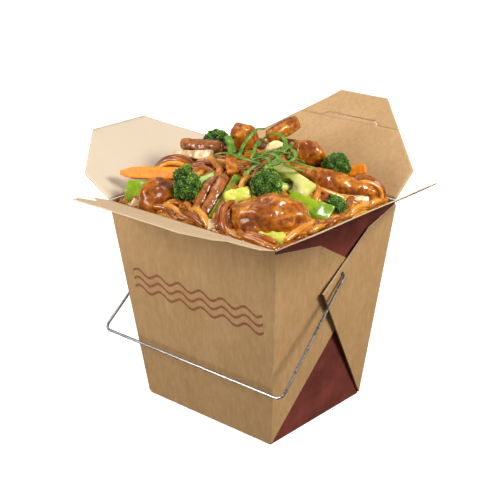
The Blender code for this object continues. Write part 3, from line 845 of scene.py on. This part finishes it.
# %% Build the florets
CROWNS = {   # from the crown to the stalk's end, the size of the small domes (mm) and their number
    "broccoli_left": ((5.0, 10.0, 5.2), 2.5, 30),
    "broccoli_centre": ((6.6, 11.1, -1.6), 2.6, 28),
    "broccoli_right": ((-10.6, 3.8, -9.0), 2.2, 26),
    "broccoli_small": ((-9.4, 5.6, -3.0), 2.0, 22),
    "broccoli_back": ((9.4, 4.5, -7.6), 2.3, 24),
}
BARE_SIDE = 0.78      # domes that face the stalk more than this are left out
DOME_BUDS = 95        # buds on a dome of 2.6 mm
BUD_RADII = (0.30, 0.52)


def find_domes(solid, centre, way, dome_mm, dome_count, rng):
    """Places, directions and sizes of the domes, dropped on the solid from outside."""
    tree = BVHTree.FromPolygons([v.co for v in solid.vertices], [p.vertices for p in solid.polygons])
    domes = []
    for direction in sphere_points(dome_count):
        if direction @ way > BARE_SIDE:
            continue
        spot = tree.ray_cast(Vector(centre + direction * 30 * MM), -Vector(direction))[0]
        if spot:
            size = dome_mm * MM * rng.uniform(0.7, 1.25)
            domes.append((np.array(spot) - direction * size * rng.uniform(0.7, 1.15), direction, size))
    return domes


def cover_dome(place, direction, size, way, rng):
    """The buds of one dome: their places, radii and tints."""
    count = int(DOME_BUDS * (size / (2.6 * MM)) ** 2)
    shell = sphere_points(count * 2)
    shell = shell[shell @ direction > -0.15]
    shell = shell + rng.normal(0, 0.06, shell.shape)
    swell = 1 + rng.uniform(-0.10, 0.12, (len(shell), 1))
    radius = rng.uniform(*BUD_RADII, len(shell)) * MM
    # A bud's tint rises toward its dome's crown and falls toward its base: painted light on the crowns
    # and painted shade in the gaps between domes. Domes that face the stalk are paler, and a random share
    # varies each bud.
    facing = np.clip(shell @ direction, 0, 1)
    near_stalk = 0.30 * max(0.0, direction @ way + 0.25)
    tints = 0.12 + near_stalk + 0.48 * facing ** 2 + rng.normal(0, 0.15, len(shell))
    return place + shell * size * swell, np.repeat(radius[:, None], 3, axis=1), np.clip(tints, 0.02, 1)


def build_stalk(node, tip, fork, middle, radius, ends):
    """A thick tapered stem and a thin branch to each dome, as tubes with a radius at each point."""
    routes = [((tip, radius * 0.95), (fork, radius), (middle, radius * 1.3))]
    routes += [((fork, radius * 0.7), (fork.lerp(end, 0.5).lerp(middle, 0.25), radius * 0.45),
                (end, radius * 0.4)) for end in ends]
    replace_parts(link(tube_curve(node + "_stalk", routes, 1.0), stalk), node)


def build_floret(node, stalk_way, dome_mm, dome_count, seed):
    rng = np.random.default_rng(seed)
    solid = node_mesh(node)
    points = np.array([vert.co for vert in solid.vertices])
    way = np.array(Vector(stalk_way).normalized())
    reach = points @ way
    head = points[reach < np.percentile(reach, 88)]
    low, high = head.min(axis=0), head.max(axis=0)
    centre = (high + low) / 2
    domes = find_domes(solid, centre, way, dome_mm, dome_count, rng)
    covers = [cover_dome(place, direction, size, way, rng) for place, direction, size in domes]
    mesh = balls_mesh(node + "_buds", *(np.concatenate(part) for part in zip(*covers)))
    dress(node + "_buds", node, mesh, buds)
    tip, middle = Vector(points[np.argmax(reach)]), Vector(centre)
    stem = 0.30 * (high - low).min() / 2
    build_stalk(node, tip, middle.lerp(tip, 0.35), middle, stem, [Vector(dome[0]) for dome in domes])
    return len(mesh.polygons)


for seed, (node, (way, dome, count)) in enumerate(CROWNS.items()):
    print(node, "faces:", build_floret(node, way, dome, count, seed + 1))

# %% [markdown]
# ## Noodles
# Thick wheat noodles, about 3.4 mm across, tangled and coated with sauce. Under them lies a near-black
# core a little smaller than the frame's heap: painted shade that stands for the dark depths of the
# tangle. The strands follow the heap, so its top is first measured on a grid, by rays from above, and
# smoothed.

# %% The heap's surface
heap_mesh = node_mesh("noodles")
heap_tree = BVHTree.FromPolygons([v.co for v in heap_mesh.vertices],
                                 [p.vertices for p in heap_mesh.polygons])
GRID, WALL_ROOM, SKY = 72, 2.2 * MM, 0.2


def top_at(tree, x, y):
    """Height of the first thing met from above."""
    hit = tree.ray_cast(Vector((x, y, SKY)), Vector((0, 0, -1)))[0]
    return hit.z if hit else HEIGHT


field_x = np.linspace(-RIM_HALF.x + WALL_ROOM, RIM_HALF.x - WALL_ROOM, GRID)
field_y = np.linspace(-RIM_HALF.y + WALL_ROOM, RIM_HALF.y - WALL_ROOM, GRID)
field = np.array([[top_at(heap_tree, x, y) for y in field_y] for x in field_x])


def spread(values, passes):
    """A few passes of a small blur."""
    for _ in range(passes):
        padded = np.pad(values, 1, mode="edge")
        beside = padded[:-2, 1:-1] + padded[2:, 1:-1] + padded[1:-1, :-2] + padded[1:-1, 2:]
        values = (beside + 2 * values) / 6
    return values


smooth_field = spread(field, 5)


def heap_top(x, y):
    i = np.clip((x - field_x[0]) / (field_x[1] - field_x[0]), 0, GRID - 1.001)
    j = np.clip((y - field_y[0]) / (field_y[1] - field_y[0]), 0, GRID - 1.001)
    i0, j0 = int(i), int(j)
    u, v = i - i0, j - j0
    near = smooth_field[i0, j0] * (1 - u) + smooth_field[i0 + 1, j0] * u
    far = smooth_field[i0, j0 + 1] * (1 - u) + smooth_field[i0 + 1, j0 + 1] * u
    return near * (1 - v) + far * v


print("heap rises to", round(smooth_field.max() / MM, 1), "mm")

# %% [markdown]
# ## Strands
# A strand is a walk over the heap: it starts somewhere, keeps turning gently, rises over and
# dips under the others by a slow wave, and is turned back before it meets a wall. A tube is
# then swept along every walk with numpy, which is far quicker than one curve object each.

# %% Strand walks
NOODLE_R = 1.7
STEP = 2.0 * MM
WAVE_LIFT = 1.1   # how far a strand rises and dips (mm)


def smoothed(walk, passes):
    for _ in range(passes):
        walk[1:-1] = (walk[:-2] + 2 * walk[1:-1] + walk[2:]) / 4
    return walk


def strand_walk(rng, length_mm, layer_mm):
    """Points of one strand, metres, inside the rim and near the heap's surface."""
    limit = np.array([RIM_HALF.x, RIM_HALF.y]) - (BOARD + (NOODLE_R + 0.9) * MM)
    place = rng.uniform(-1, 1, 2) * limit
    heading = rng.uniform(0, 2 * math.pi)
    bend, phase = rng.uniform(-0.10, 0.10), rng.uniform(0, 6.28)
    wave = rng.uniform(9, 16) * MM
    points, travelled = [], 0.0
    while travelled < length_mm * MM:
        bend += rng.normal(0, 0.035) - 0.12 * bend
        heading += bend
        step = np.array([math.cos(heading), math.sin(heading)]) * STEP
        for axis in (0, 1):
            if abs(place[axis] + step[axis] * 3) > limit[axis]:
                inward = -math.copysign(1, place[axis])
                wanted = math.atan2(inward, 0) if axis else (0 if inward > 0 else math.pi)
                heading += 0.45 * math.sin(wanted - heading)
        place = np.clip(place + step, -limit, limit)
        travelled += STEP
        lift = layer_mm + WAVE_LIFT * math.sin(phase + travelled / wave * 2 * math.pi / 3)
        points.append((place[0], place[1], heap_top(place[0], place[1]) + lift * MM))
    return smoothed(np.array(points), 3)


print("strands keep", NOODLE_R, "mm of radius off the walls")

# %% Swept tubes
def swept_tubes(name, walks, radii, sides=9, flat=0.86):
    """One mesh of rounded tubes along many walks, with a tint for each strand."""
    points, faces, tints = [], [], []
    ring = np.linspace(0, 2 * math.pi, sides, endpoint=False)
    rng = np.random.default_rng(5)
    for walk, radius in zip(walks, radii):
        tangents = np.gradient(walk, axis=0)
        tangents /= np.linalg.norm(tangents, axis=1, keepdims=True) + 1e-12
        side = np.cross(tangents, [0, 0, 1.0])
        side /= np.linalg.norm(side, axis=1, keepdims=True) + 1e-9
        over = np.cross(side, tangents)
        count = len(walk)
        ease = np.minimum(np.arange(count), np.arange(count)[::-1])
        scale = np.sqrt(np.clip(1 - (1 - np.minimum(ease, 1.5) / 1.5) ** 2, 0.12, 1))
        swell = 1 + 0.07 * np.sin(np.arange(count) * 0.9 + rng.uniform(0, 6))
        width = radius * MM * scale * swell
        base = len(points)
        sideways = side[:, None] * np.cos(ring)[None, :, None]
        upward = over[:, None] * np.sin(ring)[None, :, None] * flat
        rings = walk[:, None] + width[:, None, None] * (sideways + upward)
        points.extend(rings.reshape(-1, 3).tolist())
        tints.extend([rng.uniform(0, 1)] * (count * sides))
        for i in range(count - 1):
            a, b = base + i * sides, base + (i + 1) * sides
            faces.extend([(a + k, a + (k + 1) % sides, b + (k + 1) % sides, b + k) for k in range(sides)])
        faces.append(tuple(base + k for k in reversed(range(sides))))
        faces.append(tuple(base + (count - 1) * sides + k for k in range(sides)))
    mesh = bpy.data.meshes.new(name)
    mesh.from_pydata(points, [], faces)
    layer = mesh.attributes.new("tint", "FLOAT", "POINT")
    layer.data.foreach_set("value", np.array(tints, dtype=np.float32))
    mesh.shade_smooth()
    return mesh


print("tube sweeper ready")

# %% [markdown]
# ## Noodle finish
# Soy and sugar turn some strands deep brown and leave others golden, and a wet film makes them
# shine. The strand's tint picks its place between the two, and a cloud of noise breaks it up.

# %% Noodle finish
def noodle_finish():
    material, tree, shader, coords = new_finish(
        "sauced_noodle", Coat_Weight=0.7, Coat_Roughness=0.08, Specular_IOR_Level=0.25)
    place = coords.outputs["Object"]
    tint = make(tree, "ShaderNodeAttribute", attribute_name="tint").outputs["Fac"]
    clouds = fuzz(tree, place, 120, 4, 0.6)
    value = calc(tree, "MULTIPLY_ADD", tint, 0.40, calc(tree, "MULTIPLY", clouds, 0.75))
    colour = ramp(tree, value, (0.26, (0.130, 0.022, 0.002)), (0.48, (0.320, 0.085, 0.005)),
                  (0.66, (0.520, 0.185, 0.012)), (0.90, (0.680, 0.340, 0.050)))
    tree.links.new(colour, shader.inputs["Base Color"])
    wet = fuzz(tree, place, 360, 3, 0.5)
    tree.links.new(grey(tree, wet, (0.35, 0.16), (0.65, 0.38)), shader.inputs["Roughness"])
    bump(tree, shader, fuzz(tree, place, 700, 3, 0.5), 0.25, 0.15)
    glow_inside(shader, 0.2, (1.0, 0.45, 0.15), 2.0 * MM)
    return material


noodle = noodle_finish()
print("noodle finish ready")

# %% [markdown]
# ## Placed strands
# Some noodles stand out of the tangle: arcs beside the big piece of chicken, loose ends along the rim,
# and two bundles of loops that the frame has as solids of their own. These are given as a few points
# each, and a smooth curve is drawn through the points.

# %% Placed strands
def smooth_path(points, step_mm=1.0):
    """A dense smooth path, metres, through points in millimetres."""
    places = np.array(points, dtype=float)
    ends = np.vstack([2 * places[0] - places[1], places, 2 * places[-1] - places[-2]])
    path = []
    for before, start, end, after in zip(ends, ends[1:], ends[2:], ends[3:]):
        count = max(2, int(np.linalg.norm(end - start) / step_mm))
        for t in np.arange(count) / count:
            square = 2 * before - 5 * start + 4 * end - after
            cube = 3 * start - before - 3 * end + after
            path.append(0.5 * (2 * start + (end - before) * t + square * t ** 2 + cube * t ** 3))
    return np.array(path + [places[-1]]) * MM


HERO_STRANDS = (
    ((45.5, -9.9, 107), (47.6, -18.7, 107.6), (48.6, -26.8, 106.6), (48.0, -34.0, 104.2)),
    ((29.0, -40.8, 104.6), (34.3, -40.4, 106.4), (40.5, -39.0, 106.2), (46.4, -36.6, 104.2)),
    ((25.0, -38.0, 105.4), (31.0, -41.2, 105.6), (38.5, -41.4, 105.2), (47.0, -41.0, 103.8)),
    ((-16.0, -37.0, 106.6), (-7.8, -39.5, 107.4), (1.0, -41.4, 107.2), (9.0, -41.8, 104.4)),
    ((-9.0, -34.5, 107.6), (0.0, -37.6, 109.2), (6.7, -40.4, 108.0), (11.4, -41.9, 104.2)),
    ((-4.5, -21.6, 114), (-4.4, -28.8, 112.2), (-0.2, -37.0, 109.2), (4.0, -41.0, 105.6)),
    ((7.3, -9.3, 120), (8.0, -14.4, 119.4), (10.0, -19.4, 117.0)),
    ((36.9, 9.3, 111), (32.3, 10.1, 113), (26.8, 10.4, 115), (22.5, 6.5, 117)),
    ((-39.5, -9.6, 118.2), (-28.8, -13.8, 118.4), (-18.3, -17.9, 116.5)),
    ((6.4, -22.4, 113.4), (9.4, -31.0, 112.4), (13.0, -37.7, 109.6), (16.6, -41.8, 104.6)),
    ((11.9, -23.6, 114.4), (13.6, -33.0, 112.8), (17.0, -38.9, 109.8), (21.4, -41.9, 104.2)),
    ((-32.0, -41.9, 103.8), (-25.0, -41.6, 106.4), (-18.0, -40.0, 106.6), (-10.0, -41.8, 104.2)),
    ((-24.0, -4.0, 122.6), (-16.0, -9.0, 122.6), (-9.0, -13.0, 120.5), (-8.0, -20.0, 117.0)),
    ((-46.0, 14.0, 112.0), (-40.0, 20.0, 117.0), (-30.0, 24.0, 121.0), (-20.0, 22.0, 124.0)),
    ((-8.0, 28.0, 127.0), (4.0, 30.0, 126.5), (14.0, 34.0, 122.0), (24.0, 38.0, 113.0)),
    ((-36.0, 34.0, 110.0), (-26.0, 36.0, 115.5), (-14.0, 34.0, 119.0), (-4.0, 27.0, 123.5)),
)


def loop_bundle(centre, heading, tilt, long_mm, high_mm, rows):
    """Nested arcs of noodles that stand side by side, like a rolled bundle."""
    turn = Matrix.Rotation(math.radians(heading), 3, "Z") @ Matrix.Rotation(math.radians(tilt), 3, "Y")
    paths = []
    for row, (depth, scale) in enumerate(rows):
        arc = []
        for degree in range(192, -13, -17):
            angle = math.radians(degree)
            sway = 0.5 * math.sin(angle * 2 + row)
            place = (long_mm * scale * math.cos(angle), depth + sway, high_mm * scale * math.sin(angle))
            arc.append(tuple(Vector(centre) + turn @ Vector(place)))
        paths.append(smooth_path(arc))
    return paths


LOOP_ROWS = ((-4.4, 0.86), (-4.7, 0.58), (-4.2, 0.30), (-1.5, 0.98),
             (-1.7, 0.66), (1.6, 1.0), (1.8, 0.7), (4.5, 0.84))   # depth (mm) and size of each arc
CLOSE_ROWS = [(depth * 0.72, scale) for depth, scale in LOOP_ROWS]
bundles = {
    "noodle_loops_left": loop_bundle((-38.5, -13.5, 111.5), 28, -14, 11.4, 9.6, LOOP_ROWS),
    "noodle_loops_right": loop_bundle((42.0, 34.0, 108.6), 41, 16, 9.0, 7.0, CLOSE_ROWS),
}
for node, paths in bundles.items():
    dress(node + "_strands", node, swept_tubes(node + "_strands", paths, [1.45] * len(paths), 12), noodle)
rng = np.random.default_rng(21)
hero = [smooth_path(points) for points in HERO_STRANDS]
hero_mesh = swept_tubes("placed_strands", hero, rng.uniform(1.5, 1.8, len(hero)), 12)
dress("placed_strands", "noodles", hero_mesh, noodle)
print("placed strands:", len(hero), "in bundles:", sum(len(paths) for paths in bundles.values()))

# %% [markdown]
# ## The tangle
# The rest of the heap is a tangle of random walks, laid in layers from just under the surface to
# just over it. The random numbers start from a fixed seed, so the tangle is the same every time.

# %% The tangle and its core
walks = [strand_walk(rng, rng.uniform(45, 95), layer) for layer in np.linspace(-1.6, 1.5, 165)]
tangle = swept_tubes("noodle_strands", walks, rng.uniform(1.4, 1.8, len(walks)))
strands = dress("noodle_strands", "noodles", tangle, noodle)
# The core's near-black finish is painted shade for the depths between the strands.
core_shade_finish = glazed("dark_sauce", (0.030, 0.005, 0.001), (0.090, 0.018, 0.002), (0.17, 0.045, 0.006))
dress("noodle_core", "noodles", fine_copy("noodle_core", "noodles", 1.6, 3, -1.3), core_shade_finish)
print("strands:", len(walks), "faces:", len(strands.data.polygons))

# %% [markdown]
# ## Spring onion
# The garnish is spring onion cut lengthwise into thin shreds that curl in cold water. Each is a
# narrow band along a coiling walk over the top of the heap, where it rests on whatever lies
# highest there.

# %% Everything the garnish can rest on
RESTS_ON = ("_skin", "_cut", "_buds", "_strands", "_core")


def landing_tree():
    points, faces = [], []
    bpy.context.view_layer.update()
    graph = bpy.context.evaluated_depsgraph_get()
    for piece in bpy.context.scene.objects:
        if piece.type == "MESH" and piece.name.endswith(RESTS_ON):
            mesh = piece.evaluated_get(graph).to_mesh()
            base = len(points)
            points += [vert.co.copy() for vert in mesh.vertices]
            faces += [[base + index for index in polygon.vertices] for polygon in mesh.polygons]
    return BVHTree.FromPolygons(points, faces)


landing = landing_tree()
print("top of the heap's middle:", round(top_at(landing, 0, 0) / MM, 1), "mm")

# %% Shreds of spring onion
SHREDS = (   # half width (mm) and the points
    (1.1, (-15.5, -10.2, 126.5), (-8.0, -9.0, 128.5), (2.5, -10.4, 128.4), (9.6, -9.0, 127.6),
     (14.8, -8.0, 126.6)),
    (2.0, (-19.7, 4.0, 131.5), (-15.5, 0.4, 132.6), (-11.1, -3.2, 131.6), (-6.8, -5.7, 127.5)),
    (1.1, (-3.0, 13.0, 136.6), (-1.8, 6.0, 138.0), (-1.0, 0.5, 136.4), (-1.3, -5.2, 132.0),
     (-1.0, -8.0, 127.5)),
    (0.8, (2.7, 1.8, 134.4), (5.0, -2.0, 134.2), (6.2, -5.6, 131.5), (6.5, -8.2, 127.8)),
    (1.2, (-1.5, 6.2, 129.5), (0.4, 8.2, 133.4), (4.4, 9.2, 136.2), (10.9, 8.8, 136.8),
     (15.8, 6.0, 134.6), (16.6, 2.6, 131.0), (12.0, 0.2, 129.0)),
    (1.3, (7.6, -6.6, 127.4), (12.5, -3.6, 131.0), (19.0, -3.3, 130.8), (21.9, -6.5, 128.2),
     (15.6, -8.0, 127.6)),
    (1.1, (13.9, 0.9, 129.6), (17.4, 5.6, 132.4), (22.8, 5.0, 130.8), (23.7, 0.0, 128.4),
     (18.0, -3.0, 128.0)),
    (1.0, (20.9, 1.5, 127.6), (27.9, 4.0, 126.8), (32.4, 9.6, 124.2)),
    (1.2, (15.9, -4.7, 128.6), (18.1, 2.6, 132.4), (16.6, 9.7, 133.4), (10.0, 12.6, 130.2)),
    (1.0, (11.9, -7.1, 127.0), (11.4, -12.8, 126.0), (12.0, -18.0, 123.6)),
    (1.0, (4.0, -4.0, 127.6), (9.0, -0.5, 130.2), (14.0, 1.5, 130.6), (19.0, 6.8, 128.0),
     (24.0, 10.5, 125.6)),
    (0.9, (8.5, 1.0, 128.6), (13.0, -1.6, 131.6), (17.4, -1.0, 132.6), (20.2, 3.2, 130.6),
     (17.0, 6.6, 128.8)),
    (1.2, (6.0, -8.0, 126.8), (11.0, -5.5, 129.4), (16.0, -6.2, 129.2), (20.0, -9.5, 126.2)),
    (0.8, (-4.5, -7.5, 127.8), (0.0, -4.0, 130.0), (6.0, -3.5, 130.0), (11.0, -6.5, 127.6)),
    (0.9, (22.0, -3.0, 127.4), (26.5, -1.0, 126.2), (29.8, 3.0, 124.0)),
    (0.8, (10.5, 3.0, 129.2), (13.5, 5.5, 132.2), (18.0, 5.5, 132.0), (21.0, 1.5, 128.8)),
)
green = vegetable("spring_onion", (0.030, 0.110, 0.004), (0.150, 0.290, 0.018), 0.25, 260, coat=0.4)
shred_paths, widths = [], []
for half, *points in SHREDS:
    path = smooth_path(points, 0.8)
    for place in path:
        place[2] = max(place[2], top_at(landing, place[0], place[1]) + 0.35 * MM)
    shred_paths.append(smoothed(path, 4))
    widths.append(half)
shred_mesh = swept_tubes("spring_onion_shreds", shred_paths, widths, 10, 0.38)
link(bpy.data.objects.new("spring_onion_shreds", shred_mesh), green)
print("shreds:", len(shred_paths))

# %% [markdown]
# ## Floor
# The floor is a plain pale sheet. It is hidden from diffuse and glossy rays, so that it takes
# shadows and gives the board no glare.

# %% Floor and finish
bm = bmesh.new()
bmesh.ops.create_grid(bm, x_segments=2, y_segments=2, size=3.0)
floor_mesh = bpy.data.meshes.new("floor")
bm.to_mesh(floor_mesh)
bm.free()
floor_finish, tree, shader, coords = new_finish("pale_floor", Roughness=0.85, Emission_Strength=0.6)
shader.inputs["Emission Color"].default_value = (1, 1, 1, 1)
dust = fuzz(tree, coords.outputs["Object"], 30, 3, 0.5)
paint = ramp(tree, dust, (0.3, (0.90, 0.90, 0.89)), (0.7, (0.93, 0.93, 0.92)))
tree.links.new(paint, shader.inputs["Base Color"])
floor = bpy.data.objects.new("floor", floor_mesh)
bpy.context.scene.collection.objects.link(floor)
floor.data.materials.append(floor_finish)
floor.location.z = -0.2 * MM
floor.visible_diffuse = False
floor.visible_glossy = False
